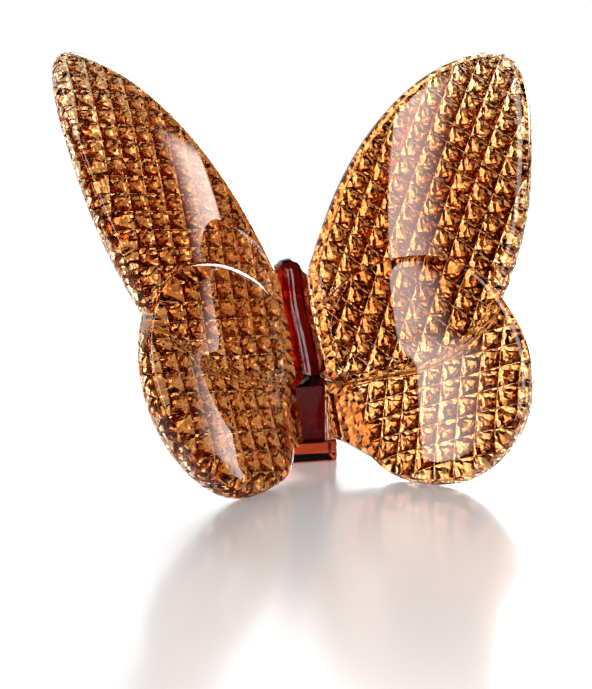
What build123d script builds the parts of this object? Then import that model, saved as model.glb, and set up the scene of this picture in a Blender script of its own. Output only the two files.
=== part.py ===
from build123d import *
import os
from math import ceil, cos, radians, sin

os.makedirs("parts", exist_ok=True)

# Butterfly ornament of clear crystal: a leaning body on a foot and two pairs of
# wings that open forward. Lengths are in millimetres and angles in degrees.
# The origin is the middle of the foot's underside and the front looks along -Y.

# Stance
body_lean = 39.5  # the body leans back from upright
wing_spread = 35.1  # each wing stands forward of the body's own plane
valley_setback = 12.7  # the valley between the wings starts this far in front of the origin

# Seats
bond_gap = 0.08  # film of clear cement between two ground flats
overrun = 2.0  # a cut runs past the glass by this much

# Forewing
forewing_reach = 40.2  # valley to the outermost point of the wing
forewing_height = 60.2  # foot of the valley to the wing's tip
forewing_dome_radius = 140.0
forewing_crown = 1.9  # highest point of the front above the outline's own plane
wing_back = 2.8  # back face below the outline's own plane
rim_bevel = 0.8  # polished bevel round both sides of each wing

# Hindwing
hindwing_reach = 31.2
hindwing_height = 29.6  # foot of the valley to the top of the lap on the forewing
lap_step = 1.0  # the lap stands this far proud of the forewing's front
lap_seat = 0.3  # ground seat of the lap, below the outline's own plane
lower_dome_radius = 190.0
lower_crown = 1.5
web_front = 0.9  # front of the root web, below the outline's own plane
rest_flat = 0.25  # depth of the ground flat on which each hindwing rests

# Diamond cut on the backs
forewing_row_pitch = 2.7
forewing_column_pitch = 3.2
hindwing_row_pitch = 2.85
hindwing_column_pitch = 2.65
groove_depth = 1.3  # V-grooves from the points of the diamonds to the bottom
diamond_sink = 0.15  # the points of the diamonds lie below the clear rim by this much
clear_rim = 1.3  # plain glass round each diamond field
seam_land = 0.5  # plain glass between the fields of two wings
root_land = 4.2  # plain glass from the valley to the first diamonds
right_forewing_rows, right_forewing_columns = -54.0, 58.6  # turned from the line across the wing
left_forewing_rows, left_forewing_columns = -19.0, 87.0
right_hindwing_rows, right_hindwing_columns = -4.0, 72.6
left_hindwing_rows, left_hindwing_columns = -16.0, 82.0

# Body
body_width = 4.6
body_top = 36.6  # foot of the valley to the top of the head
body_front = 2.4  # front of the column above the valley
body_back = 4.6  # back of the column below the valley
neck = 29.4
neck_dip = 0.5
head_bulge = 0.3
tongue = 15.9  # lower end of the column's front
column_bevel = 1.2
stem_front = 2.6  # front of the stem ahead of the origin
stem_back = 3.6
stem_height = 10.6

# Gusset that carries each hindwing on the stem
gusset_top = 14.4
gusset_low = 7.6
gusset_front = 1.0  # edge of the gusset inside the back of the wing, below the valley
gusset_back = 4.2

# Foot
foot_width = 7.6
foot_depth = 8.0
foot_height = 2.9
foot_round = 0.6

# Outlines in shares of the reach and height, anticlockwise as seen from the front
forewing_shares = [
    (-0.029, 0.403), (0.062, 0.266), (0.249, 0.225), (0.473, 0.212), (0.659, 0.269),
    (0.770, 0.359), (0.878, 0.494), (0.957, 0.663), (1.000, 0.844), (0.957, 0.966),
    (0.781, 1.000), (0.567, 0.955), (0.372, 0.852), (0.202, 0.708), (0.069, 0.560),
]
hindwing_shares = [
    (0.063, 0.722), (0.081, 0.554), (0.154, 0.406), (0.179, 0.220), (0.240, 0.017),
    (0.411, -0.117), (0.593, -0.167), (0.802, -0.094), (0.951, 0.095), (1.000, 0.324),
    (0.966, 0.581), (0.828, 0.841), (0.653, 0.953), (0.408, 1.000), (0.149, 0.901),
]
web_shares = [
    (-0.05, 0.600), (-0.05, 0.380), (0.060, 0.250), (0.150, 0.155), (0.250, 0.060),
    (0.360, 0.020), (0.420, 0.150), (0.340, 0.360), (0.190, 0.570),
]
field_sides = 20  # straight sides of each diamond field
outline_sides = 30  # points of an outline that is moved out by a bond gap
forewing_middle_share = (0.48, 0.60)
lower_middle_share = (0.58, 0.13)

# Directions of the leaning body and of the right wing
lean, spread = radians(body_lean), radians(wing_spread)
along_body = Vector(0, sin(lean), cos(lean))
out_of_body = Vector(0, -cos(lean), sin(lean))
across_wing = Vector(cos(spread), 0, 0) + out_of_body * sin(spread)
out_of_wing = across_wing.cross(along_body)


def scaled(shares, reach, height):
    """Points in the wing's own plane from shares of its reach and height."""
    return [(across * reach, along * height) for across, along in shares]


forewing_outline = scaled(forewing_shares, forewing_reach, forewing_height)
hindwing_outline = scaled(hindwing_shares, hindwing_reach, hindwing_height)
web_outline = scaled(web_shares, hindwing_reach, hindwing_height)
forewing_middle, = scaled([forewing_middle_share], forewing_reach, forewing_height)
lower_middle, = scaled([lower_middle_share], hindwing_reach, hindwing_height)

# The valley starts at the height at which the rounded back rim of the hindwing
# would reach below the table by the depth of its ground flat
with BuildLine(Plane.XY) as hindwing_edge:
    Spline(*hindwing_outline, periodic=True)
rim_samples = 240
rim_points = [hindwing_edge.line @ (step / rim_samples) for step in range(rim_samples)]
rim_low = min(point.X * across_wing.Z + point.Y * along_body.Z for point in rim_points)
rim_drop = (wing_back - rim_bevel) * out_of_wing.Z
valley_height = rim_drop - rim_low - rest_flat

valley = Vector(0, -valley_setback, valley_height)
wing_plane = Plane(origin=valley, x_dir=across_wing, z_dir=out_of_wing)
wing_axis = Axis(valley, out_of_wing)
back_plane = wing_plane.offset(-wing_back)
seat_plane = wing_plane.offset(-lap_seat)
lap_depth = lap_seat - bond_gap
lap_plane = wing_plane.offset(-lap_depth)
body_side = body_width / 2
root_plane = Plane.YZ.offset(body_side + bond_gap)
foot_top = foot_height + bond_gap
back_end = (stem_back + valley_setback + body_back * out_of_body.Y) / along_body.Y
lap_crown = forewing_crown + lap_step
lap_dome_radius = forewing_dome_radius + lap_step
deepest_cut = groove_depth + diamond_sink


def smooth_face(points):
    """Closed smooth outline, as a face of the sketch that is being drawn."""
    with BuildLine() as rim:
        Spline(*points, periodic=True)
    make_face(rim.edges())


def moved(points, distance, count):
    """Points round a smooth outline, each moved out of it by a distance."""
    with BuildLine() as rim:
        Spline(*points, periodic=True)
    edge = rim.edge()
    result = []
    for step in range(count):
        place, heading = edge @ (step / count), edge % (step / count)
        result.append((place.X + heading.Y * distance, place.Y - heading.X * distance))
    return result


def back_rim(wing):
    """Edges round the flat back of a wing."""
    return wing.faces().filter_by(wing_axis).sort_by(wing_axis)[0].outer_wire().edges()


def domed_lobe(points, depth, dome_radius, dome_middle, crown, back_bevelled=True):
    """A plate of the given outline, down to a depth, with a domed front and bevelled edges."""
    middle_across, middle_along = dome_middle
    with BuildPart(wing_plane) as lobe:
        with BuildSketch(wing_plane.offset(-depth)):
            smooth_face(points)
        extrude(amount=depth + crown + overrun)
        with Locations((middle_across, middle_along, crown - dome_radius)):
            Sphere(dome_radius, rotation=(90, 0, 0), mode=Mode.INTERSECT)
        rims = lobe.faces().filter_by(GeomType.SPHERE).edges()
        if back_bevelled:
            rims += back_rim(lobe)
        chamfer(rims, rim_bevel)
    return lobe.part


def diamond_field(points, clear_of=None):
    """Space that the grooves may take: inside the clear rim and clear of the other wing."""
    with BuildPart() as field:
        with BuildSketch(back_plane.offset(deepest_cut)):
            with BuildLine():
                Polyline(*moved(points, -clear_rim, field_sides), close=True)
            make_face()
            with Locations((root_land, 0)):
                Rectangle(
                    forewing_reach, 2 * forewing_height, mode=Mode.SUBTRACT,
                    align=(Align.MAX, Align.CENTER),
                )
            if clear_of:
                with BuildLine():
                    Polyline(*moved(clear_of, seam_land, field_sides), close=True)
                make_face(mode=Mode.SUBTRACT)
        extrude(amount=-deepest_cut - overrun)
    return field.part


def groove_cutter(field, middle, turn, pitch):
    """V-grooves side by side, turned in the plane of the back and kept inside the field."""
    across, along = middle
    points_level = back_plane.offset(diamond_sink)
    middle_point = points_level.from_local_coords(Vector(across, along, 0))
    run = across_wing * cos(radians(turn)) + along_body * sin(radians(turn))
    half = pitch / 2
    count = ceil(forewing_height / pitch) + 1
    start = -count * half
    teeth = [(start + step * half, -groove_depth * (step % 2)) for step in range(2 * count + 1)]
    with BuildPart() as cutter:
        with BuildSketch(Plane(middle_point, x_dir=out_of_wing.cross(run), z_dir=-run)):
            with BuildLine():
                Polyline(*teeth, (-start, overrun), (start, overrun), close=True)
            make_face()
        extrude(amount=forewing_height, both=True)
        add(field, mode=Mode.INTERSECT)
    return cutter.part


def diamond_cut(blank, rows, columns):
    """A wing whose back is cut by the two crossing families of grooves."""
    with BuildPart() as wing:
        add(blank)
        add(rows, mode=Mode.SUBTRACT)
        add(columns, mode=Mode.SUBTRACT)
    return wing.part


def cut_forewing(row_turn, column_turn):
    """The forewing with its diamonds, on the right-hand side."""
    return diamond_cut(
        forewing_blank.part,
        groove_cutter(forewing_field, forewing_middle, row_turn, forewing_row_pitch),
        groove_cutter(forewing_field, forewing_middle, column_turn, forewing_column_pitch),
    )


def cut_hindwing(row_turn, column_turn):
    """The hindwing with its diamonds, on the right-hand side."""
    return diamond_cut(
        hindwing_blank.part,
        groove_cutter(hindwing_field, lower_middle, row_turn, hindwing_row_pitch),
        groove_cutter(hindwing_field, lower_middle, column_turn, hindwing_column_pitch),
    )


def beside_body(along, out):
    """Depth and height, in the plane of symmetry, of a point of the leaning body."""
    point = valley + along_body * along + out_of_body * out
    return point.Y, point.Z


# Forewing: a domed lobe with a flat seat where the hindwing laps over it
forewing_field = diamond_field(forewing_outline)
with BuildPart() as forewing_blank:
    add(
        domed_lobe(
            forewing_outline, wing_back, forewing_dome_radius, forewing_middle, forewing_crown
        )
    )
    with BuildSketch(seat_plane):
        smooth_face(moved(hindwing_outline, bond_gap, outline_sides))
    extrude(amount=lap_seat + forewing_crown + overrun, mode=Mode.SUBTRACT)
    split(bisect_by=root_plane, keep=Keep.TOP)

# Hindwing: the lap over the forewing, the lower lobe, the root web and the gusset
# in one piece, with a rebate on its back that takes the lower lobe of the forewing
hindwing_field = diamond_field(hindwing_outline, clear_of=forewing_outline)
gusset_thickness = (foot_width - body_width) / 2 - bond_gap
with BuildPart() as root_web:
    with BuildSketch(back_plane):
        smooth_face(web_outline)
    extrude(amount=wing_back - web_front)
    chamfer(back_rim(root_web), rim_bevel)
with BuildPart() as hindwing_blank:
    add(domed_lobe(hindwing_outline, wing_back, lower_dome_radius, lower_middle, lower_crown))
    add(
        domed_lobe(
            hindwing_outline, lap_depth, lap_dome_radius, forewing_middle, lap_crown,
            back_bevelled=False,
        )
    )
    add(root_web.part)
    with BuildSketch(root_plane):
        with BuildLine():
            Polyline(
                beside_body(gusset_top, -gusset_front), beside_body(gusset_low, -gusset_front),
                (-foot_depth / 2, foot_top), (stem_back, foot_top),
                (stem_back, stem_height), beside_body(gusset_top, -gusset_back), close=True,
            )
        make_face()
    extrude(amount=gusset_thickness)
    with BuildSketch(lap_plane):
        smooth_face(moved(forewing_outline, bond_gap, outline_sides))
    extrude(amount=-wing_back - overrun, mode=Mode.SUBTRACT)
    split(bisect_by=root_plane, keep=Keep.TOP)
    split(bisect_by=Plane.XY, keep=Keep.TOP)

# The four wings: the left ones mirror the right ones, but their diamonds are turned less
right_forewing_cut = cut_forewing(right_forewing_rows, right_forewing_columns)
left_forewing_cut = cut_forewing(left_forewing_rows, left_forewing_columns)
right_hindwing_cut = cut_hindwing(right_hindwing_rows, right_hindwing_columns)
left_hindwing_cut = cut_hindwing(left_hindwing_rows, left_hindwing_columns)

with BuildPart() as right_forewing:
    add(right_forewing_cut)
right_forewing.part.label = "right_forewing"

with BuildPart() as right_hindwing:
    add(right_hindwing_cut)
right_hindwing.part.label = "right_hindwing"

with BuildPart() as left_forewing:
    mirror(left_forewing_cut, about=Plane.YZ)
left_forewing.part.label = "left_forewing"

with BuildPart() as left_hindwing:
    mirror(left_hindwing_cut, about=Plane.YZ)
left_hindwing.part.label = "left_hindwing"

# Body: head, leaning column and stem, drawn in the plane of symmetry
head_middle = (neck + body_top) / 2
with BuildPart() as body:
    with BuildSketch(Plane.YZ.offset(-body_side)):
        with BuildLine():
            stem_line = Line((-stem_front, foot_top), (-stem_front, stem_height))
            tongue_line = Line(stem_line @ 1, beside_body(tongue, body_front))
            column_line = Spline(
                tongue_line @ 1,
                beside_body((tongue + neck) / 2, body_front),
                beside_body(neck, body_front - neck_dip),
                beside_body(head_middle, body_front + head_bulge),
                beside_body(body_top, 0),
                beside_body(head_middle, -body_back),
                tangents=[(along_body.Y, along_body.Z), (-along_body.Y, -along_body.Z)],
            )
            back_line = Line(column_line @ 1, beside_body(back_end, -body_back))
            Polyline(back_line @ 1, (stem_back, foot_top), stem_line @ 0)
        make_face()
    extrude(amount=body_width)
    sides = body.faces().filter_by(Axis.X).edges()
    chamfer(sides.filter_by_position(Axis.Z, stem_height, body_top), column_bevel)
body.part.label = "body"

# Foot
with BuildPart() as foot:
    with BuildSketch(Plane.XY):
        RectangleRounded(foot_width, foot_depth, foot_round)
    extrude(amount=foot_height)
foot.part.label = "foot"

for piece in (body, foot, left_forewing, right_forewing, left_hindwing, right_hindwing):
    export_step(piece.part, f"parts/{piece.part.label}.step")
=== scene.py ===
from math import ceil, cos, pi, radians, sin

import bpy
import numpy as np
from bpy.props import FloatProperty, FloatVectorProperty, IntProperty, PointerProperty
from mathutils import Matrix, Vector


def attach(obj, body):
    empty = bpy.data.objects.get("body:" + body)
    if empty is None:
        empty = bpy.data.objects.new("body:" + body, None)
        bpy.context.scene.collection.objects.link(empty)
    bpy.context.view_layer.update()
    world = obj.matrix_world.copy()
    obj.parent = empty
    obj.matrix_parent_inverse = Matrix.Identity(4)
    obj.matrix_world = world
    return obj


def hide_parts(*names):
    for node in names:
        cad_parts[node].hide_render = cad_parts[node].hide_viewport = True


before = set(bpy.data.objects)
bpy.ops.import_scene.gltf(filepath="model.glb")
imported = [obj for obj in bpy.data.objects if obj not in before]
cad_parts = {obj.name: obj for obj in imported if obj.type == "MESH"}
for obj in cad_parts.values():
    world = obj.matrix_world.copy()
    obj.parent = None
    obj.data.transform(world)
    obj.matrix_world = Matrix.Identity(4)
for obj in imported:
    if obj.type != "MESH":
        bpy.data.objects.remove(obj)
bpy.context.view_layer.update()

bl_info = {
    "name": "Crystal butterfly",
    "version": (1, 0, 0),
    "blender": (4, 5, 0),
    "location": "View3D > Sidebar > Butterfly",
    "description": "Makes the glass wings, body and foot of a butterfly ornament and its studio",
    "category": "Object",
}

MM = 0.001
BODY = "root"
WHITE = (1.0, 1.0, 1.0, 1.0)
# Places nearer to each other than this count as one
NEAR = 0.01 * MM

# Outlines in shares of the reach and height, anticlockwise as seen from the front
FOREWING_SHARES = [
    (-0.029, 0.403), (0.062, 0.266), (0.249, 0.225), (0.473, 0.212), (0.659, 0.269),
    (0.770, 0.359), (0.878, 0.494), (0.957, 0.663), (1.000, 0.844), (0.957, 0.966),
    (0.781, 1.000), (0.567, 0.955), (0.372, 0.852), (0.202, 0.708), (0.069, 0.560),
]
HINDWING_SHARES = [
    (0.063, 0.722), (0.081, 0.554), (0.154, 0.406), (0.179, 0.220), (0.240, 0.017),
    (0.411, -0.117), (0.593, -0.167), (0.802, -0.094), (0.951, 0.095), (1.000, 0.324),
    (0.966, 0.581), (0.828, 0.841), (0.653, 0.953), (0.408, 1.000), (0.149, 0.901),
]
WEB_SHARES = [
    (-0.05, 0.600), (-0.05, 0.380), (0.060, 0.250), (0.150, 0.155), (0.250, 0.060),
    (0.360, 0.020), (0.420, 0.150), (0.340, 0.360), (0.190, 0.570),
]
# Middles of the upper and the lower domes, in the same shares
FOREWING_MIDDLE_SHARE = (0.48, 0.60)
LOWER_MIDDLE_SHARE = (0.58, 0.13)
# The rounds of a wing's edge take at most these shares of the glass's thickness
FRONT_ROUND_SHARE, BACK_ROUND_SHARE = 0.58, 0.36

# How finely the shapes are drawn
FOREWING_POINTS, HINDWING_POINTS, WEB_POINTS = 280, 240, 120
EDGE_STEPS, FACE_RINGS, CURVE_STEPS = 8, 56, 40
HEAD_STEPS, CROWN_STEPS, EASE_STEPS, FLOOR_SIDES = 24, 5, 4, 96
PROFILE_SPACING = 1.0 * MM
SHARP_EDGE = radians(30)

# The painted shade near the wings' roots comes and goes over these runs out from the body and up from
# the table
ROOT_EDGE, ROOT_SLANT = (8.2 * MM, 8.8 * MM), 0.28
ROOT_FOOT, ROOT_TOP = (2.9 * MM, 3.0 * MM), (12.0 * MM, 13.0 * MM)
# The painted shade is left out beyond the first of these runs and above the second, so that a light
# window stays there
WINDOW_EDGE, WINDOW_FOOT = (5.0 * MM, 5.4 * MM), (7.4 * MM, 8.0 * MM)

# Soft boxes that the fronts mirror, seen from the ornament: the direction square to their sharp
# edge, their middle, the width over which they fade, their two ends and their power
SOFT_BOXES = (
    ((0.22, 0.536, -0.815), (0.881, 0.249, 0.402), 0.12, (-0.27, 0.45), 8.5),
    ((-0.595, 0.652, -0.47), (-0.703, -0.14, 0.697), 0.15, (-0.25, 0.48), 8.5),
)


def length(name, millimetres, description):
    """A size that the sidebar shows, given here in millimetres."""
    return FloatProperty(
        name=name, description=description, default=millimetres * MM, unit="LENGTH", precision=5
    )


def angle(name, degrees, description):
    """An angle that the sidebar shows, given here in degrees."""
    return FloatProperty(
        name=name, description=description, default=radians(degrees), unit="ROTATION"
    )


def grid(name, rows, columns):
    """Directions of a wing's rows and columns of diamonds, given here in degrees."""
    return FloatVectorProperty(
        name=name, description="Rows and columns, turned from the line across the wing",
        default=(radians(rows), radians(columns)), size=2, unit="ROTATION",
    )


def number(name, value, description, **limits):
    """A plain number that the sidebar shows."""
    return FloatProperty(name=name, description=description, default=value, **limits)


def colour(name, shares, description):
    """A colour that the sidebar shows."""
    return FloatVectorProperty(
        name=name, description=description, default=shares, subtype="COLOR", size=3, min=0, max=1
    )


class StanceSizes(bpy.types.PropertyGroup):
    body_lean: angle("Body lean", 39.5, "The body leans back from upright")
    wing_spread: angle("Wing spread", 35.1, "Each wing stands forward of the body's plane")
    valley_setback: length("Valley setback", 12.7, "Valley between the wings to the origin")
    bond_gap: length("Bond gap", 0.08, "Film of clear cement in each seat")
    overrun: length("Overrun", 2.0, "A cut runs past the glass")


class ForewingSizes(bpy.types.PropertyGroup):
    reach: length("Reach", 40.2, "Valley to the outermost point")
    height: length("Height", 60.2, "Foot of the valley to the wing's tip")
    dome_radius: length("Dome radius", 140.0, "Curve of the front")
    crown: length("Crown", 1.9, "Highest point of the front above the outline's plane")
    back: length("Back", 2.8, "Back face below the outline's plane")
    rim_bevel: length("Rim bevel", 0.8, "Bevel on which the hindwing's lowest point is worked out")
    trim: length("Trim", 0.20, "Keeps the smooth outline inside the CAD's many-sided one")
    front_round: length("Front round", 0.9, "How far the front falls towards its edge")
    front_slope: length("Front slope", 2.6, "Width over which the front falls")
    back_round: length("Back round", 1.2, "Fire-polished back edge")


class HindwingSizes(bpy.types.PropertyGroup):
    reach: length("Reach", 31.2, "Valley to the outermost point")
    height: length("Height", 29.6, "Foot of the valley to the top of the lap")
    lap_step: length("Lap step", 1.0, "The lap stands proud of the forewing")
    lap_seat: length("Lap seat", 0.3, "Seat of the lap below the outline's plane")
    dome_radius: length("Dome radius", 190.0, "Curve of the lower lobe")
    crown: length("Crown", 1.5, "Highest point of the lower lobe")
    crease: length("Crease", 0.25, "Softness of the crease below the lap")
    web_front: length("Web front", 0.9, "Front of the root web below the outline's plane")
    rest_flat: length("Rest flat", 0.25, "Depth of the ground flat on the table")
    gusset_top: length("Gusset top", 14.4, "Top of the gusset along the body")
    gusset_low: length("Gusset low", 7.6, "Lower front corner of the gusset along the body")
    gusset_front: length("Gusset front", 1.0, "Gusset behind the valley, at its front")
    gusset_back: length("Gusset back", 4.2, "Gusset behind the valley, at its back")


class DiamondSizes(bpy.types.PropertyGroup):
    fore_rows: length("Upper row pitch", 2.7, "Between the long grooves")
    fore_columns: length("Upper column pitch", 3.2, "Between the cross grooves")
    hind_rows: length("Lower row pitch", 2.85, "Between the long grooves")
    hind_columns: length("Lower column pitch", 2.65, "Between the cross grooves")
    right_fore: grid("Right upper grid", -54.0, 58.6)
    left_fore: grid("Left upper grid", -19.0, 87.0)
    right_hind: grid("Right lower grid", -4.0, 72.6)
    left_hind: grid("Left lower grid", -16.0, 82.0)
    groove_depth: length("Groove depth", 1.3, "Points of the diamonds to the groove's bottom")
    swell: number("Swell", 0.45, "How far the faces of the diamonds bulge")
    groove_flat: length("Groove flat", 0.03, "Height of the worn bottom of each groove")
    sink: length("Sink", 0.15, "Points of the diamonds below the clear rim")
    clear_rim: length("Clear rim", 1.3, "Plain glass round each field")
    seam_land: length("Seam land", 0.5, "Plain glass between the fields of two wings")
    root_land: length("Root land", 4.2, "Plain glass beside the valley")


class BodySizes(bpy.types.PropertyGroup):
    width: length("Width", 4.6, "Across the column")
    top: length("Top", 36.6, "Foot of the valley to the top of the head")
    front: length("Front", 2.4, "Front of the column above the valley")
    back: length("Back", 4.6, "Back of the column below the valley")
    neck: length("Neck", 29.4, "Foot of the valley to the neck")
    neck_dip: length("Neck dip", 0.5, "The neck is drawn in")
    head_bulge: length("Head bulge", 0.3, "The head stands proud of the column")
    tongue: length("Tongue", 15.9, "Lower end of the column's front")
    bevel: length("Bevel", 1.2, "Bevel of the column's side edges")
    crown: length("Crown", 0.15, "Rise of the column's faces")
    bevel_ease: length("Bevel ease", 0.25, "Softness of the corners of the bevel")
    bevel_run: number("Bevel run", 0.1, "Share of the stem's height over which bevels begin")
    stem_front: length("Stem front", 2.6, "Front of the stem ahead of the origin")
    stem_back: length("Stem back", 3.6, "Back of the stem behind the origin")
    stem_height: length("Stem height", 10.6, "Where the stem runs into the column")
    foot_width: length("Foot width", 7.6, "Across the foot")
    foot_depth: length("Foot depth", 8.0, "Front to back of the foot")
    foot_height: length("Foot height", 2.9, "Height of the foot")
    foot_round: length("Foot round", 0.6, "Corners of the foot")


class GlassLook(bpy.types.PropertyGroup):
    wing_tint: colour("Wing tint", (0.86, 0.55, 0.12), "What the wing glass lets through")
    body_tint: colour("Body tint", (0.80, 0.22, 0.10), "What the body glass lets through")
    foot_tint: colour("Foot tint", (0.85, 0.42, 0.16), "What the foot's glass lets through")
    wing_density: number("Wing density", 740.0, "That tint in a metre of glass", min=0)
    body_density: number("Body density", 1500.0, "That tint in a metre of glass", min=0)
    foot_density: number("Foot density", 620.0, "That tint in a metre of glass", min=0)
    clean: colour("Clean", (1.0, 0.985, 0.96), "Untouched surface")
    handled: colour("Handled", (0.98, 0.93, 0.86), "Touched surface")
    # Painted shade: the small facets of the cut back are darkened inside and left light at their
    # edges, which paints their glints into the glass's colour
    cell_shade_tint: colour("Cell tint", (0.34, 0.17, 0.08), "Small facets between their light edges")
    cell_shade_share: number("Cell share", 0.8, "How much of that tint the facets take")
    # Painted shade: the glass near the wings' roots is darkened in streaks, leaving a light window
    root_shade_tint: colour("Root tint", (0.50, 0.20, 0.05), "Extra tint near the wings' roots")
    root_shade_share: number("Root share", 0.55, "Least part of that tint between its streaks")
    bend: number("Index of refraction", 1.53, "How strongly the crystal bends light", min=1, max=2.5)
    facets: number("Facets", 820.0, "Small facets along a metre of the cut back")
    facet_scatter: number("Facet scatter", 0.5, "How irregular the small facets are")
    ripple: length("Ripple", 0.34, "Height of the small facets on the diamonds")
    wave: length("Wave", 0.004, "Height of the slow waves left by pressing")
    dull: number("Dull", 0.03, "Roughness of the specks")


class LightLook(bpy.types.PropertyGroup):
    paper: colour("Paper", (0.78, 0.775, 0.772), "Colour of the table")
    sheen: number("Sheen", 0.36, "Share of the light that the table mirrors")
    sheen_blur: number("Sheen blur", 0.17, "Roughness of the table")
    glow: number("Glow", 0.22, "Light that only the camera sees on the table")
    table: number("Table light", 0.37, "Light of the surroundings on the table")
    rear: number("Rear lamp", 4.1, "Power of the soft lamp behind the ornament")
    rear_size: angle("Rear lamp size", 35.0, "How large the lamp looks from the table")
    rear_tilt: angle("Rear lamp tilt", 58.0, "From straight above towards the back")
    seen_dark: number("Seen dark", 0.06, "Least light seen through the glass")
    seen_backdrop: number("Seen backdrop", 0.60, "Light of the backdrop there")
    seen_sparks: number("Seen sparks", 4.2, "Bright spots on that backdrop")
    seen_panels: number("Seen panels", 0.5, "Light of the panels at the sides")
    seen_bands: number("Seen bands", 2.2, "Bright bands on those panels")
    seen_top: number("Seen top", 0.5, "Light from above")
    seen_front: number("Seen front", 2.5, "Light from the front")
    mirrored_dark: number("Mirrored dark", 0.03, "Least light that the surfaces mirror")
    mirrored_wall: number("Mirrored wall", 0.97, "Light of the back wall in them")
    mirrored_rim: number("Mirrored rim", 7.0, "Strip on that wall")
    mirrored_strip: number("Mirrored strip", 5.0, "Strip above, which the column mirrors")
    soft_box_tint: colour("Soft box tint", (1.0, 0.80, 0.72), "Colour of the soft boxes")


class StudioSettings(bpy.types.PropertyGroup):
    azimuth: angle("Azimuth", 14.45, "The camera stands to the right of straight on")
    elevation: angle("Elevation", 9.78, "The camera looks down")
    distance: length("Distance", 236.7, "Camera to the origin along the view")
    shift_across: length("Shift across", 1.24, "The view's centre beside the origin")
    shift_up: length("Shift up", -15.94, "The view's centre below the origin")
    floor_radius: length("Floor radius", 400.0, "Middle of the table to its edge")
    pixels_per_unit: number("Pixels per millimetre", 7.0, "Scale of the picture at the origin")
    picture_height: IntProperty(
        name="Picture height", description="Long side of the picture in pixels", default=689
    )


SETTINGS = {
    "butterfly_stance": StanceSizes,
    "butterfly_forewing": ForewingSizes,
    "butterfly_hindwing": HindwingSizes,
    "butterfly_diamonds": DiamondSizes,
    "butterfly_body": BodySizes,
    "butterfly_glass": GlassLook,
    "butterfly_lights": LightLook,
    "butterfly_studio": StudioSettings,
}


class Socket:
    """A node's output that takes part in sums, in any kind of node tree."""

    def __init__(self, nodes, socket):
        self.nodes, self.socket = nodes, socket

    def math(self, operation, *values):
        return self.nodes.add("ShaderNodeMath", dict(enumerate(values)), operation=operation)

    def __add__(self, other):
        return self.math("ADD", self, other)

    __radd__ = __add__

    def __mul__(self, other):
        return self.math("MULTIPLY", self, other)

    __rmul__ = __mul__

    def __sub__(self, other):
        return self.math("SUBTRACT", self, other)

    def __rsub__(self, other):
        return self.math("SUBTRACT", other, self)

    def __neg__(self):
        return self * -1.0

    def __abs__(self):
        return self.math("ABSOLUTE", self)

    def sine(self):
        return self.math("SINE", self)

    def wave(self):
        """A wave between 0 and 1."""
        return self.sine() * 0.5 + 0.5

    def step(self, low, high):
        """A soft step from 0 at low to 1 at high."""
        return self.nodes.add(
            "ShaderNodeMapRange", {"Value": self, "From Min": low, "From Max": high},
            interpolation_type="SMOOTHSTEP",
        )

    def between(self, rise, fall):
        """A band that comes in over one soft step and goes out over another."""
        return self.step(*rise) * (1 - self.step(*fall))


class Nodes:
    """Adds nodes to an empty tree and hands back their outputs."""

    def __init__(self, tree):
        self.tree = tree
        tree.nodes.clear()

    def add(self, kind, values=(), output=0, **settings):
        """A node whose settings are set first, and then the values or links of its sockets."""
        node = self.tree.nodes.new(kind)
        for name, value in settings.items():
            setattr(node, name, value)
        for name, value in dict(values).items():
            socket = node.inputs[name]
            if isinstance(value, Socket):
                self.tree.links.new(value.socket, socket)
            else:
                socket.default_value = value
        return Socket(self, node.outputs[output]) if len(node.outputs) else node

    def vector(self, operation, first, second):
        """A sum of two vectors, or a vector times a number."""
        second_input = "Scale" if operation == "SCALE" else 1
        return self.add(
            "ShaderNodeVectorMath", {0: first, second_input: second}, operation=operation
        )

    def parts(self, vector):
        """The three components of a vector."""
        node = self.add("ShaderNodeSeparateXYZ", {0: vector}).socket.node
        return [Socket(self, socket) for socket in node.outputs]

    def blend(self, share, first, second):
        """A mix of two colours, whose sockets go by number because others have the same names."""
        return self.add("ShaderNodeMix", {0: share, 6: first, 7: second}, 2, data_type="RGBA")


def smooth_curve(knots, steps, end_ways=None):
    """Points along a smooth curve through the knots, closed or with given directions at its ends."""
    total = len(knots)
    closed = end_ways is None
    spans = np.linalg.norm(np.roll(knots, -1, 0) - knots, axis=1)
    system, drive = np.zeros((total, total)), np.zeros((total, 2))
    for i in range(total) if closed else range(1, total - 1):
        following = (i + 1) % total
        before, after = spans[i - 1], spans[i]
        system[i, i - 1] += after
        system[i, i] += 2 * (before + after)
        system[i, following] += before
        rise_before = (knots[i] - knots[i - 1]) / before
        rise_after = (knots[following] - knots[i]) / after
        drive[i] = 3 * (after * rise_before + before * rise_after)
    if not closed:
        system[0, 0] = system[-1, -1] = 1
        drive[0], drive[-1] = end_ways
    slopes = np.linalg.solve(system, drive)
    share = np.arange(steps)[:, None] / steps
    curve = []
    for i in range(total if closed else total - 1):
        start, end = knots[i], knots[(i + 1) % total]
        rise, fall = slopes[i] * spans[i], slopes[(i + 1) % total] * spans[i]
        curve.append(
            start * (2 * share**3 - 3 * share**2 + 1) + rise * (share**3 - 2 * share**2 + share)
            + end * (3 * share**2 - 2 * share**3) + fall * (share**3 - share**2)
        )
    return np.vstack(curve + [knots[:1] if closed else knots[-1:]])


def outward(rim):
    """Normals that point out of an anticlockwise rim."""
    along = np.roll(rim, -1, 0) - np.roll(rim, 1, 0)
    normals = np.column_stack([along[:, 1], -along[:, 0]])
    return normals / np.linalg.norm(normals, axis=1)[:, None]


def wing_outline(shares, sizes, count):
    """Evenly spaced points and their normals round an outline given in shares of a wing's sizes."""
    curve = smooth_curve(np.array(shares) * (sizes.reach, sizes.height), CURVE_STEPS)
    travel = np.concatenate([[0], np.cumsum(np.linalg.norm(np.diff(curve, axis=0), axis=1))])
    stops = np.linspace(0, travel[-1], count, endpoint=False)
    rim = np.column_stack([np.interp(stops, travel, curve[:, k]) for k in range(2)])
    return rim, outward(rim)


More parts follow.
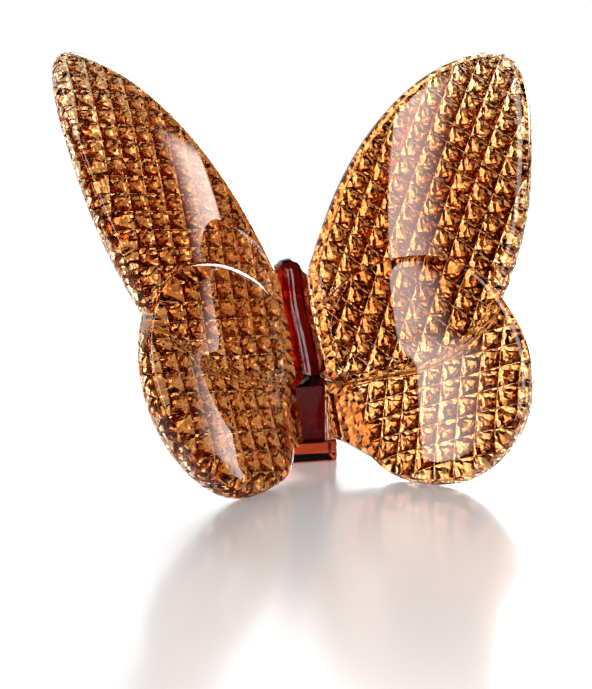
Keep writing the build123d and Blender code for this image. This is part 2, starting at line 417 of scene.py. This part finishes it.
def dome(middle, radius, crown):
    """Height of a dome over a point of the wing's plane."""
    def height(places):
        away = ((places - middle) ** 2).sum(1)
        return crown - radius + np.sqrt(radius**2 - away)
    return height


def higher_of(first, second, softness):
    """The higher of two surfaces, with a soft crease where they cross."""
    def height(places):
        a, b = first(places), second(places)
        return (a + b + np.sqrt((a - b) ** 2 + softness**2)) / 2 - softness / 4
    return height


def mesh_object(name, points, faces, matrix=None):
    """A mesh in the scene, with its place in its mesh."""
    mesh = bpy.data.meshes.new(name)
    mesh.from_pydata([tuple(point) for point in points], [], faces)
    if matrix:
        mesh.transform(matrix)
    mesh.validate()
    made = bpy.data.objects.new(name, mesh)
    bpy.context.scene.collection.objects.link(made)
    return made


def ring_faces(count, rings):
    """Quads between rings of points, each ring above the last, and a flat face on the first."""
    faces = []
    for low in range(0, (rings - 1) * count, count):
        for i in range(count):
            j = (i + 1) % count
            faces.append((low + i, low + j, low + count + j, low + count + i))
    faces.append(tuple(reversed(range(count))))
    return faces


def ring_solid(name, rings, matrix=None):
    """A solid through rings of points, with a flat face at both ends."""
    count = len(rings[0])
    faces = ring_faces(count, len(rings))
    faces.append(tuple(range((len(rings) - 1) * count, len(rings) * count)))
    return mesh_object(name, np.vstack(rings), faces, matrix)


def prism(name, rim, low, high, matrix=None):
    """A straight-sided solid over an outline."""
    rings = [np.column_stack([rim, np.full(len(rim), level)]) for level in (low, high)]
    return ring_solid(name, rings, matrix)


def block(name, low, high):
    """A box between two corners."""
    rim = [(low[0], low[1]), (high[0], low[1]), (high[0], high[1]), (low[0], high[1])]
    return prism(name, rim, low[2], high[2])


def quarter_round(steps):
    """Pairs from (1, 0) to (0, 1) on a quarter circle round (1, 1)."""
    turns = [pi / 2 * step / steps for step in range(steps + 1)]
    return [(1 - sin(turn), 1 - cos(turn)) for turn in turns]


def lobe(name, rim, normals, middle, level, sizes, matrix):
    """A domed plate with rounded edges: a flat back and fine rings towards the middle in front."""
    rim = rim - normals * sizes.trim
    thickness = level(rim) + sizes.back
    front = np.minimum(sizes.front_round, thickness * FRONT_ROUND_SHARE)
    back = np.minimum(sizes.back_round, thickness * BACK_ROUND_SHARE)
    rings = []
    for inset, rise in quarter_round(EDGE_STEPS):
        places = rim - normals * (back * inset)[:, None]
        rings.append(np.column_stack([places, -sizes.back + back * rise]))
    for drop, inset in quarter_round(2 * EDGE_STEPS):
        places = rim - normals * (sizes.front_slope * inset)
        rings.append(np.column_stack([places, level(places) - front * drop]))
    edge = rim - normals * sizes.front_slope
    for step in range(1, FACE_RINGS):
        places = middle + (edge - middle) * (1 - step / FACE_RINGS)
        rings.append(np.column_stack([places, level(places)]))
    count = len(rim)
    points = np.vstack(rings + [np.array([[*middle, level(middle[None])[0]]])])
    last, tip = (len(rings) - 1) * count, len(points) - 1
    faces = ring_faces(count, len(rings))
    faces += [(last + i, last + (i + 1) % count, tip) for i in range(count)]
    return mesh_object(name, points, faces, matrix)


def carve(piece, tool, operation):
    """Joins a tool to a piece or cuts the piece with it, and removes the tool."""
    cut = piece.modifiers.new("Cut", "BOOLEAN")
    cut.object, cut.operation, cut.solver = tool, operation, "MANIFOLD"
    settle(piece)
    bpy.data.objects.remove(tool)


def settle(piece):
    """Turns what the modifiers show into the piece's own mesh."""
    depsgraph = bpy.context.evaluated_depsgraph_get()
    mesh = bpy.data.meshes.new_from_object(piece.evaluated_get(depsgraph), depsgraph=depsgraph)
    piece.modifiers.clear()
    piece.data = mesh
    if not len(mesh.polygons):
        raise RuntimeError(f"{piece.name} came out empty")


class Stance:
    """Directions and levels of the leaning body and of the right wing, in metres."""

    def __init__(self, scene):
        stance, diamonds = scene.butterfly_stance, scene.butterfly_diamonds
        fore, hind = scene.butterfly_forewing, scene.butterfly_hindwing
        lean, spread = stance.body_lean, stance.wing_spread
        self.gap, self.overrun = stance.bond_gap, stance.overrun
        self.along = Vector((0, sin(lean), cos(lean)))
        self.out_of_body = Vector((0, -cos(lean), sin(lean)))
        self.across = Vector((cos(spread), 0, 0)) + self.out_of_body * sin(spread)
        self.out = self.across.cross(self.along)
        self.fore_rim, self.fore_normals = wing_outline(FOREWING_SHARES, fore, FOREWING_POINTS)
        self.hind_rim, self.hind_normals = wing_outline(HINDWING_SHARES, hind, HINDWING_POINTS)
        self.fore_middle = np.array(FOREWING_MIDDLE_SHARE) * (fore.reach, fore.height)
        self.lower_middle = np.array(LOWER_MIDDLE_SHARE) * (hind.reach, hind.height)
        lowest = (self.hind_rim @ np.array([self.across.z, self.along.z])).min()
        drop = (fore.back - fore.rim_bevel) * self.out.z
        self.valley = Vector((0, -stance.valley_setback, drop - lowest - hind.rest_flat))
        self.to_world = Matrix.Translation(self.valley) @ Matrix(
            (self.across, self.along, self.out)
        ).transposed().to_4x4()
        self.root = scene.butterfly_body.width / 2 + self.gap
        self.lap_depth = hind.lap_seat - self.gap
        self.cut_level = -fore.back + diamonds.sink + diamonds.groove_depth
        self.far = 2 * fore.height

    def beside_body(self, along, out):
        """Depth and height of a point of the leaning body in the plane of symmetry."""
        point = self.valley + self.along * along + self.out_of_body * out
        return point.y, point.z


def diamond_tree():
    """Geometry nodes that stand four-sided diamonds on a slanting grid and cut them out of a field."""
    tree = bpy.data.node_groups.new("Diamond cut", "GeometryNodeTree")
    for name, kind in (
        ("Field", "Geometry"), ("Row step", "Vector"), ("Column step", "Vector"),
        ("Groove depth", "Float"), ("Swell", "Float"), ("Columns", "Int"), ("Rows", "Int"),
        ("Middle", "Vector"), ("Glass", "Material"),
    ):
        tree.interface.new_socket(name, in_out="INPUT", socket_type="NodeSocket" + kind)
    tree.interface.new_socket("Cutter", in_out="OUTPUT", socket_type="NodeSocketGeometry")
    nodes = Nodes(tree)
    start = tree.nodes.new("NodeGroupInput")
    given = {socket.name: Socket(nodes, socket) for socket in start.outputs if socket.name}
    # A pyramid one step wide and long, turned point down
    pyramid = nodes.add("GeometryNodeMeshCone", {
        "Vertices": 4, "Side Segments": 6, "Radius Top": 0.0, "Radius Bottom": 0.5**0.5,
        "Depth": 1.0,
    }, fill_type="NGON")
    diamond = nodes.add("GeometryNodeTransform", {"Geometry": pyramid, "Rotation": (pi, 0, pi / 4)})
    lattice = nodes.add("GeometryNodeMeshGrid", {
        "Size X": given["Columns"] - 1, "Size Y": given["Rows"] - 1,
        "Vertices X": given["Columns"], "Vertices Y": given["Rows"],
    })
    copies = nodes.add("GeometryNodeInstanceOnPoints", {"Points": lattice, "Instance": diamond})
    real = nodes.add("GeometryNodeRealizeInstances", {"Geometry": copies})
    across, along, down = nodes.parts(nodes.add("GeometryNodeInputPosition"))
    swollen = down + down * (down + 1) * given["Swell"]
    place = nodes.vector(
        "ADD", nodes.vector("SCALE", given["Row step"], across),
        nodes.vector("SCALE", given["Column step"], along),
    )
    depth = nodes.add("ShaderNodeCombineXYZ", {"Z": swollen * given["Groove depth"]})
    place = nodes.vector("ADD", nodes.vector("ADD", place, depth), given["Middle"])
    slanted = nodes.add("GeometryNodeSetPosition", {"Geometry": real, "Position": place})
    cut = nodes.add(
        "GeometryNodeMeshBoolean", {"Mesh 1": given["Field"], "Mesh 2": slanted},
        operation="DIFFERENCE", solver="MANIFOLD",
    )
    whole = nodes.add("GeometryNodeRealizeInstances", {"Geometry": cut})
    glassy = nodes.add("GeometryNodeSetMaterial", {"Geometry": whole, "Material": given["Glass"]})
    nodes.add("NodeGroupOutput", {"Cutter": glassy})
    return tree


def diamond_cutter(scene, stance, rim, clear_of, middle, turns, pitches, glass):
    """The grooves of one wing as a solid that stands ready to be cut from it."""
    sizes = scene.butterfly_diamonds
    low = -scene.butterfly_forewing.back - stance.overrun
    high = stance.cut_level - sizes.groove_flat
    below, above = low - stance.overrun, high + stance.overrun
    field = prism("diamond_field", rim - outward(rim) * sizes.clear_rim, low, high)
    far = stance.far
    carve(field, block("root_land", (-far, -far, below), (sizes.root_land, far, above)), "DIFFERENCE")
    if clear_of is not None:
        seam = clear_of + outward(clear_of) * sizes.seam_land
        carve(field, prism("other_wing", seam, below, above), "DIFFERENCE")
    row_turn, column_turn = turns
    row_pitch, column_pitch = pitches
    slant = abs(sin(column_turn - row_turn))
    row_step, column_step = column_pitch / slant, row_pitch / slant
    reach = scene.butterfly_forewing.height
    values = {
        "Row step": (row_step * cos(row_turn), row_step * sin(row_turn), 0.0),
        "Column step": (column_step * cos(column_turn), column_step * sin(column_turn), 0.0),
        "Groove depth": sizes.groove_depth, "Swell": sizes.swell,
        "Middle": (*middle, stance.cut_level),
        "Columns": ceil(reach / column_pitch) + 2, "Rows": ceil(reach / row_pitch) + 2,
        "Glass": glass,
    }
    cut = field.modifiers.new("Diamonds", "NODES")
    cut.node_group = diamond_tree()
    for item in cut.node_group.interface.items_tree:
        if item.in_out == "INPUT" and item.name in values:
            cut[item.identifier] = values[item.name]
    settle(field)
    field.data.transform(stance.to_world)
    return field


def glass_material(name, tint, density, look):
    """Clear tinted crystal whose cemented seats let light straight through."""
    material = bpy.data.materials.new(name)
    material.use_nodes = True
    nodes = Nodes(material.node_tree)
    place = nodes.add("ShaderNodeTexCoord", output="Object")
    cut, seat = (
        nodes.add("ShaderNodeAttribute", output="Fac", attribute_name=mark)
        for mark in ("cut", "seat")
    )
    # Slow waves, specks and streaks, by the scale, detail and roughness of their noise
    slow, specks, streaks = (
        nodes.add("ShaderNodeTexNoise", {
            "Vector": place, "Scale": scale, "Detail": detail, "Roughness": roughness,
        })
        for scale, detail, roughness in ((60.0, 1.0, 0.4), (900.0, 3.0, 0.6), (420.0, 2.0, 0.5))
    )
    spread = {"Vector": place, "Scale": look.facets, "Randomness": look.facet_scatter}
    facets = nodes.add("ShaderNodeTexVoronoi", spread, distance="MANHATTAN")
    webs = nodes.add("ShaderNodeTexVoronoi", spread, feature="DISTANCE_TO_EDGE")
    waves = nodes.add("ShaderNodeBump", {"Strength": 0.5, "Distance": look.wave, "Height": slow})
    rippled = nodes.add("ShaderNodeBump", {
        "Strength": 1.0, "Distance": look.ripple, "Height": facets * cut, "Normal": waves,
    })
    shade = nodes.blend(specks.step(0.45, 0.75), (*look.clean, 1.0), (*look.handled, 1.0))
    # Painted shade and glints: the cut back's small facets are darkened inside, leaving light edges
    cell_shade = cut * webs.step(0.05, 0.16) * look.cell_shade_share
    shade = nodes.blend(cell_shade, shade, (*look.cell_shade_tint, 1.0))
    # Painted shade near the wings' roots, in streaks, with a light window left out
    sideways, _, level = nodes.parts(place)
    across = abs(sideways)
    root = 1 - (across + level * ROOT_SLANT).step(*ROOT_EDGE)
    root = root * (1 - level.step(*ROOT_TOP)) * level.step(*ROOT_FOOT)
    window = across.step(*WINDOW_EDGE) * level.step(*WINDOW_FOOT)
    streaked = look.root_shade_share + streaks.step(0.35, 0.6) * (1 - look.root_shade_share)
    shade = nodes.blend(root * (1 - window) * streaked, shade, (*look.root_shade_tint, 1.0))
    glass = nodes.add("ShaderNodeBsdfPrincipled", {
        "Base Color": shade, "Roughness": specks.step(0.6, 0.9) * look.dull, "IOR": look.bend,
        "Transmission Weight": 1.0, "Alpha": 1 - seat, "Normal": rippled,
    })
    depth = nodes.add("ShaderNodeVolumeAbsorption", {"Color": (*tint, 1.0), "Density": density})
    nodes.add("ShaderNodeOutputMaterial", {"Surface": glass, "Volume": depth})
    return material


def glass_of(scene, part):
    """The glass of the wings, the body or the foot, made once."""
    look, name = scene.butterfly_glass, f"{part}_glass"
    tint, density = getattr(look, f"{part}_tint"), getattr(look, f"{part}_density")
    return bpy.data.materials.get(name) or glass_material(name, tint, density, look)


def mark_faces(piece, stance, seat_level):
    """Marks the cemented seat, which lies at one level of the wing's plane, and the cut back."""
    mesh, to_wing = piece.data, stance.to_world.inverted()
    faces = [[(to_wing @ mesh.vertices[i].co).z for i in face.vertices] for face in mesh.polygons]
    seats = [max(abs(level - seat_level) for level in face) < NEAR for face in faces]
    cuts = [max(face) < stance.cut_level + NEAR for face in faces]
    for name, marked in (("seat", seats), ("cut", cuts)):
        marks = mesh.attributes.new(name, "FLOAT", "FACE")
        marks.data.foreach_set("value", np.array(marked, np.float32))


def finished(piece, glass, node):
    """Shades, paints and hands over a piece that stands for a CAD node."""
    mesh = piece.data
    mesh.materials.clear()
    mesh.materials.append(glass)
    for face in mesh.polygons:
        face.material_index = 0
    mesh.shade_smooth()
    mesh.set_sharp_from_angle(angle=SHARP_EDGE)
    for mark in ("seat", "cut"):
        if mark not in mesh.attributes:
            mesh.attributes.new(mark, "FLOAT", "FACE")
    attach(piece, BODY)
    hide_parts(node)


def finish_wing(wing, stance, glass, side, kind, seat_level, low):
    """Cuts a right wing off beside the body and below, and moves a left one to its side."""
    far = stance.far
    carve(wing, block("outside", (stance.root, -far, low), (far, far, far)), "INTERSECT")
    mark_faces(wing, stance, seat_level)
    if side == "left":
        wing.data.transform(Matrix.Diagonal((-1, 1, 1, 1)))
        wing.data.flip_normals()
    finished(wing, glass, f"{side}_{kind}")


class BUTTERFLY_OT_forewings(bpy.types.Operator):
    """Makes the upper wings, with domed fronts and diamond-cut backs"""
    bl_idname = "butterfly.forewings"
    bl_label = "Forewings"

    def execute(self, context):
        scene = context.scene
        stance, sizes, hind = Stance(scene), scene.butterfly_forewing, scene.butterfly_hindwing
        diamonds, glass = scene.butterfly_diamonds, glass_of(scene, "wing")
        level = dome(stance.fore_middle, sizes.dome_radius, sizes.crown)
        for side, turns in (("right", diamonds.right_fore), ("left", diamonds.left_fore)):
            wing = lobe(
                f"{side}_forewing_glass", stance.fore_rim, stance.fore_normals,
                stance.fore_middle, level, sizes, stance.to_world,
            )
            seat = prism(
                "seat", stance.hind_rim + stance.hind_normals * stance.gap, -hind.lap_seat,
                sizes.crown + stance.overrun, stance.to_world,
            )
            carve(wing, seat, "DIFFERENCE")
            cutter = diamond_cutter(
                scene, stance, stance.fore_rim, None, stance.fore_middle, turns,
                (diamonds.fore_rows, diamonds.fore_columns), glass,
            )
            carve(wing, cutter, "DIFFERENCE")
            finish_wing(wing, stance, glass, side, "forewing", -hind.lap_seat, -stance.far)
        return {"FINISHED"}


class BUTTERFLY_OT_hindwings(bpy.types.Operator):
    """Makes the lower wings, which lap over the upper ones and rest on the table"""
    bl_idname = "butterfly.hindwings"
    bl_label = "Hindwings"

    def execute(self, context):
        scene = context.scene
        stance, fore, sizes = Stance(scene), scene.butterfly_forewing, scene.butterfly_hindwing
        diamonds, glass = scene.butterfly_diamonds, glass_of(scene, "wing")
        level = higher_of(
            dome(stance.lower_middle, sizes.dome_radius, sizes.crown),
            dome(stance.fore_middle, fore.dome_radius + sizes.lap_step, fore.crown + sizes.lap_step),
            sizes.crease,
        )
        middle = stance.hind_rim.mean(0)
        web_rim, _ = wing_outline(WEB_SHARES, sizes, WEB_POINTS)
        for side, turns in (("right", diamonds.right_hind), ("left", diamonds.left_hind)):
            wing = lobe(
                f"{side}_hindwing_glass", stance.hind_rim, stance.hind_normals, middle, level,
                fore, stance.to_world,
            )
            web = prism("web", web_rim, -fore.back, -sizes.web_front, stance.to_world)
            carve(wing, web, "UNION")
            carve(wing, self.gusset(stance, sizes, scene.butterfly_body), "UNION")
            rebate = prism(
                "rebate", stance.fore_rim + stance.fore_normals * stance.gap,
                -fore.back - stance.overrun, -stance.lap_depth, stance.to_world,
            )
            carve(wing, rebate, "DIFFERENCE")
            cutter = diamond_cutter(
                scene, stance, stance.hind_rim, stance.fore_rim, stance.lower_middle, turns,
                (diamonds.hind_rows, diamonds.hind_columns), glass,
            )
            carve(wing, cutter, "DIFFERENCE")
            finish_wing(wing, stance, glass, side, "hindwing", -stance.lap_depth, 0)
        return {"FINISHED"}

    def gusset(self, stance, sizes, body):
        """The block that carries a hindwing on the stem, seen from the side and drawn outwards."""
        foot_top = body.foot_height + stance.gap
        corners = [
            stance.beside_body(sizes.gusset_top, -sizes.gusset_front),
            stance.beside_body(sizes.gusset_low, -sizes.gusset_front),
            (-body.foot_depth / 2, foot_top), (body.stem_back, foot_top),
            (body.stem_back, body.stem_height),
            stance.beside_body(sizes.gusset_top, -sizes.gusset_back),
        ]
        from_the_side = Matrix(((0, 0, 1, 0), (1, 0, 0, 0), (0, 1, 0, 0), (0, 0, 0, 1)))
        thickness = (body.foot_width - body.width) / 2 - stance.gap
        return prism("gusset", corners, stance.root, stance.root + thickness, from_the_side)


class BUTTERFLY_OT_body(bpy.types.Operator):
    """Makes the head, the leaning column and the stem in one piece"""
    bl_idname = "butterfly.body"
    bl_label = "Body"

    def execute(self, context):
        scene = context.scene
        stance, sizes = Stance(scene), scene.butterfly_body
        rim = self.profile(stance, sizes)
        normals = outward(rim)
        low = sizes.stem_height
        soft = np.clip((rim[:, 1] - low) / (low * sizes.bevel_run), 0, 1)
        half = sizes.width / 2
        rings = []
        for inset, level in self.section(sizes, half):
            places = rim - normals * (inset * soft)[:, None]
            sideways = level * soft + np.sign(level) * half * (1 - soft)
            rings.append(np.column_stack([sideways, places]))
        body = ring_solid("body_glass", rings)
        finished(body, glass_of(scene, "body"), "body")
        return {"FINISHED"}

    def section(self, sizes, half):
        """Insets of the column's bevelled and crowned section, from one side to the other."""
        rings = [
            (inset + sizes.crown, -half + rise)
            for inset, rise in self.eased_bevel(sizes.bevel, sizes.bevel_ease)
        ]
        flat = half - sizes.bevel - sizes.bevel_ease
        rings += [
            (sizes.crown * (level / flat) ** 2, level)
            for level in np.linspace(-flat, 0, CROWN_STEPS + 1)[1:-1]
        ]
        return rings + [(inset, -level) for inset, level in reversed(rings)]

    def eased_bevel(self, depth, ease):
        """Insets and rises over a bevelled edge whose two corners are softly rounded."""
        places = []
        slant = np.array([-ease, ease]) * 0.5**0.5
        for corner, before, after in (
            (np.array([depth, 0.0]), np.array([ease, 0.0]), slant),
            (np.array([0.0, depth]), -slant, np.array([0.0, ease])),
        ):
            for share in np.linspace(0, 1, EASE_STEPS + 1):
                places.append(corner + before * (1 - share) ** 2 + after * share**2)
        return places

    def profile(self, stance, sizes):
        """Outline of the body in the plane of symmetry, anticlockwise."""
        foot_top = sizes.foot_height + stance.gap
        head_middle = (sizes.neck + sizes.top) / 2
        knots = [
            stance.beside_body(sizes.tongue, sizes.front),
            stance.beside_body((sizes.tongue + sizes.neck) / 2, sizes.front),
            stance.beside_body(sizes.neck, sizes.front - sizes.neck_dip),
            stance.beside_body(head_middle, sizes.front + sizes.head_bulge),
            stance.beside_body(sizes.top, 0),
            stance.beside_body(head_middle, -sizes.back),
        ]
        along = np.array([stance.along.y, stance.along.z])
        head = smooth_curve(np.array(knots), HEAD_STEPS, (along, -along))
        out = stance.out_of_body.y
        back_end = (sizes.stem_back - stance.valley.y + sizes.back * out) / along[0]
        front = [(-sizes.stem_front, foot_top), (-sizes.stem_front, sizes.stem_height)]
        back = [stance.beside_body(back_end, -sizes.back), (sizes.stem_back, foot_top)]
        rim = np.vstack([dense([*front, head[0]]), head, dense([head[-1], *back, front[0]])])
        keep = np.linalg.norm(rim - np.roll(rim, 1, 0), axis=1) > NEAR
        return rim[keep][::-1]


def dense(corners):
    """Points along straight runs between corners, without the last corner."""
    rows = []
    for start, end in zip(np.array(corners[:-1]), np.array(corners[1:])):
        steps = max(1, ceil(np.linalg.norm(end - start) / PROFILE_SPACING))
        rows.append(start + (end - start) * (np.arange(steps)[:, None] / steps))
    return np.vstack(rows)


class BUTTERFLY_OT_foot(bpy.types.Operator):
    """Makes the flat-bottomed block under the stem"""
    bl_idname = "butterfly.foot"
    bl_label = "Foot"

    def execute(self, context):
        scene = context.scene
        sizes = scene.butterfly_body
        inner = np.array([sizes.foot_width, sizes.foot_depth]) / 2 - sizes.foot_round
        rim = []
        for quarter, corner in enumerate(((1, 1), (-1, 1), (-1, -1), (1, -1))):
            for step in range(EDGE_STEPS + 1):
                turn = pi / 2 * (quarter + step / EDGE_STEPS)
                rim.append(inner * corner + sizes.foot_round * np.array([cos(turn), sin(turn)]))
        rim = np.array(rim)
        normals = outward(rim)
        ease = sizes.foot_round / 2
        edge = quarter_round(EDGE_STEPS)
        levels = [(inset, ease * rise) for inset, rise in edge]
        levels += [(inset, sizes.foot_height - ease * drop) for drop, inset in edge]
        rings = [
            np.column_stack([rim - normals * ease * inset, np.full(len(rim), level)])
            for inset, level in levels
        ]
        foot = ring_solid("foot_glass", rings)
        finished(foot, glass_of(scene, "foot"), "foot")
        return {"FINISHED"}


class BUTTERFLY_OT_studio(bpy.types.Operator):
    """Sets up the pale table, the soft lights and the camera"""
    bl_idname = "butterfly.studio"
    bl_label = "Studio"

    def execute(self, context):
        scene = context.scene
        scene.view_settings.view_transform = "Standard"
        self.camera(scene, scene.butterfly_studio)
        self.floor(scene.butterfly_lights, scene.butterfly_studio.floor_radius)
        self.surroundings(scene, scene.butterfly_lights)
        self.rear_lamp(scene, scene.butterfly_lights)
        return {"FINISHED"}

    def camera(self, scene, studio):
        turn, tilt = studio.azimuth, studio.elevation
        ahead = Vector((sin(turn) * cos(tilt), cos(turn) * cos(tilt), -sin(tilt)))
        right = Vector((cos(turn), -sin(turn), 0))
        up = right.cross(ahead)
        data = bpy.data.cameras.new("camera")
        camera = bpy.data.objects.new("camera", data)
        scene.collection.objects.link(camera)
        camera.location = -ahead * studio.distance - right * studio.shift_across - up * studio.shift_up
        camera.rotation_mode = "QUATERNION"
        camera.rotation_quaternion = Matrix((right, up, -ahead)).transposed().to_quaternion()
        focal_pixels = studio.pixels_per_unit * studio.distance / MM
        data.sensor_width = 36
        data.lens = focal_pixels * data.sensor_width / studio.picture_height
        data.clip_start, data.clip_end = 0.01, 50
        scene.camera = camera

    def floor(self, lights, radius):
        """A round pale table that mirrors a little and glows a little to the camera."""
        turns = [2 * pi * side / FLOOR_SIDES for side in range(FLOOR_SIDES)]
        rim = [(radius * cos(turn), radius * sin(turn), 0.0) for turn in turns]
        floor = mesh_object("floor", rim, [tuple(range(FLOOR_SIDES))])
        material = bpy.data.materials.new("pale_floor")
        material.use_nodes = True
        nodes = Nodes(material.node_tree)
        camera = nodes.add("ShaderNodeLightPath", output="Is Camera Ray")
        paper = nodes.add("ShaderNodeBsdfDiffuse", {"Color": (*lights.paper, 1.0)})
        sheen = nodes.add("ShaderNodeBsdfGlossy", {"Color": WHITE, "Roughness": lights.sheen_blur})
        mixed = nodes.add("ShaderNodeMixShader", {0: lights.sheen, 1: paper, 2: sheen})
        glow = nodes.add("ShaderNodeEmission", {"Color": WHITE, "Strength": camera * lights.glow})
        whole = nodes.add("ShaderNodeAddShader", {0: mixed, 1: glow})
        nodes.add("ShaderNodeOutputMaterial", {"Surface": whole})
        floor.data.materials.append(material)

    def surroundings(self, scene, lights):
        """Separate lights for the camera, the table, what the glass shows and what it mirrors."""
        world = bpy.data.worlds.new("studio")
        world.use_nodes = True
        nodes = Nodes(world.node_tree)
        way = nodes.add("ShaderNodeTexCoord", output="Generated")
        directions = nodes.parts(way)
        camera, diffuse, through, mirrored = (
            nodes.add("ShaderNodeLightPath", output=f"Is {kind} Ray")
            for kind in ("Camera", "Diffuse", "Transmission", "Reflection")
        )
        softboxes = 0.0
        for *shape, power in SOFT_BOXES:
            softboxes = self.softbox(nodes, way, *shape) * power + softboxes
        back_wall, on_surface = self.mirrored_light(lights, directions, softboxes)
        strength = camera + diffuse * lights.table + through * self.seen_light(lights, directions)
        strength = strength + mirrored * (1 - diffuse) * (1 - camera) * on_surface
        tinted = mirrored * softboxes.step(0.0, 0.1) * (1 - back_wall)
        tint = nodes.blend(tinted, WHITE, (*lights.soft_box_tint, 1.0))
        sky = nodes.add("ShaderNodeBackground", {"Color": tint, "Strength": strength})
        nodes.add("ShaderNodeOutputWorld", {"Surface": sky})
        scene.world = world

    def seen_light(self, lights, directions):
        """What shows through the glass: a spotted backdrop, banded panels and two soft lights."""
        right, behind, up = directions
        # Directions run from -1 to 1, and a soft step is given by where it starts and ends
        backdrop = behind.step(0.05, 0.35) * (1 - up.step(0.40, 0.80))
        bands = (up * 44.0 + (right * 9.0).sine() * 2.0).wave()
        cross_bands = (right * 38.0 + up * 7.0).wave()
        sides = right.step(0.62, 0.72) + (-right).step(0.62, 0.72)
        panels = sides * up.between((-0.1, 0.05), (0.75, 0.9))
        top = up.step(0.86, 0.93)
        front = (-behind).step(0.80, 0.84) * up.between((0.25, 0.30), (0.42, 0.47))
        return (
            lights.seen_dark
            + backdrop * (lights.seen_backdrop + bands * cross_bands * lights.seen_sparks)
            + panels * (lights.seen_panels + bands * lights.seen_bands)
            + top * lights.seen_top + front * lights.seen_front
        )

    def mirrored_light(self, lights, directions, softboxes):
        """The back wall, and all that the surfaces mirror."""
        right, behind, up = directions
        back_wall = behind.step(0.55, 0.62) * (1 - up.step(0.50, 0.60))
        rim = behind.step(0.53, 0.56) * right.step(0.26, 0.32) * (1 - up.step(0.60, 0.64))
        above = up.step(0.05, 0.09)
        strip = up.step(0.5, 0.6) * (-behind).step(0.0, 0.1)
        strip = strip * right.between((-0.16, -0.10), (0.09, 0.13))
        walls = back_wall * lights.mirrored_wall + rim * lights.mirrored_rim
        whole = lights.mirrored_dark + walls * above + softboxes + strip * lights.mirrored_strip
        return back_wall, whole

    def softbox(self, nodes, way, normal, middle, width, ends):
        """A panel with one sharp edge, which fades away from it and ends softly."""
        normal, middle = Vector(normal), Vector(middle).normalized()
        away, run, toward = (
            nodes.add(
                "ShaderNodeVectorMath", {0: way, 1: tuple(direction)}, "Value",
                operation="DOT_PRODUCT",
            )
            for direction in (-normal, normal.cross(middle), middle)
        )
        low, high = ends
        soft = 0.05
        window = run.between((low, low + soft), (high - soft, high)) * toward.step(0, 0.2)
        return away.between((0.0, 0.006), (width * 0.3, width)) * window

    def rear_lamp(self, scene, lights):
        """A very soft light from behind, which the glass itself doesn't show."""
        data = bpy.data.lights.new("rear", "SUN")
        data.energy, data.angle = lights.rear, lights.rear_size
        lamp = bpy.data.objects.new("rear", data)
        scene.collection.objects.link(lamp)
        lamp.rotation_euler = (-lights.rear_tilt, 0, 0)
        lamp.visible_glossy = lamp.visible_transmission = False


class BUTTERFLY_PT_sidebar(bpy.types.Panel):
    """Lists what the butterfly is made of"""
    bl_idname = "BUTTERFLY_PT_sidebar"
    bl_label = "Crystal butterfly"
    bl_space_type = "VIEW_3D"
    bl_region_type = "UI"
    bl_category = "Butterfly"

    def draw(self, context):
        layout = self.layout
        for operator in OPERATORS:
            layout.operator(operator.bl_idname)
        for name, group in SETTINGS.items():
            box = layout.box()
            for key in group.__annotations__:
                box.prop(getattr(context.scene, name), key)


OPERATORS = (
    BUTTERFLY_OT_forewings, BUTTERFLY_OT_hindwings, BUTTERFLY_OT_body, BUTTERFLY_OT_foot,
    BUTTERFLY_OT_studio,
)
CLASSES = (*SETTINGS.values(), *OPERATORS, BUTTERFLY_PT_sidebar)


def register():
    for group in CLASSES:
        bpy.utils.register_class(group)
    for name, group in SETTINGS.items():
        setattr(bpy.types.Scene, name, PointerProperty(type=group))


def unregister():
    for name in SETTINGS:
        delattr(bpy.types.Scene, name)
    for group in reversed(CLASSES):
        bpy.utils.unregister_class(group)


def main():
    register()
    bpy.ops.butterfly.forewings()
    bpy.ops.butterfly.hindwings()
    bpy.ops.butterfly.body()
    bpy.ops.butterfly.foot()
    bpy.ops.butterfly.studio()


if __name__ == "__main__":
    main()
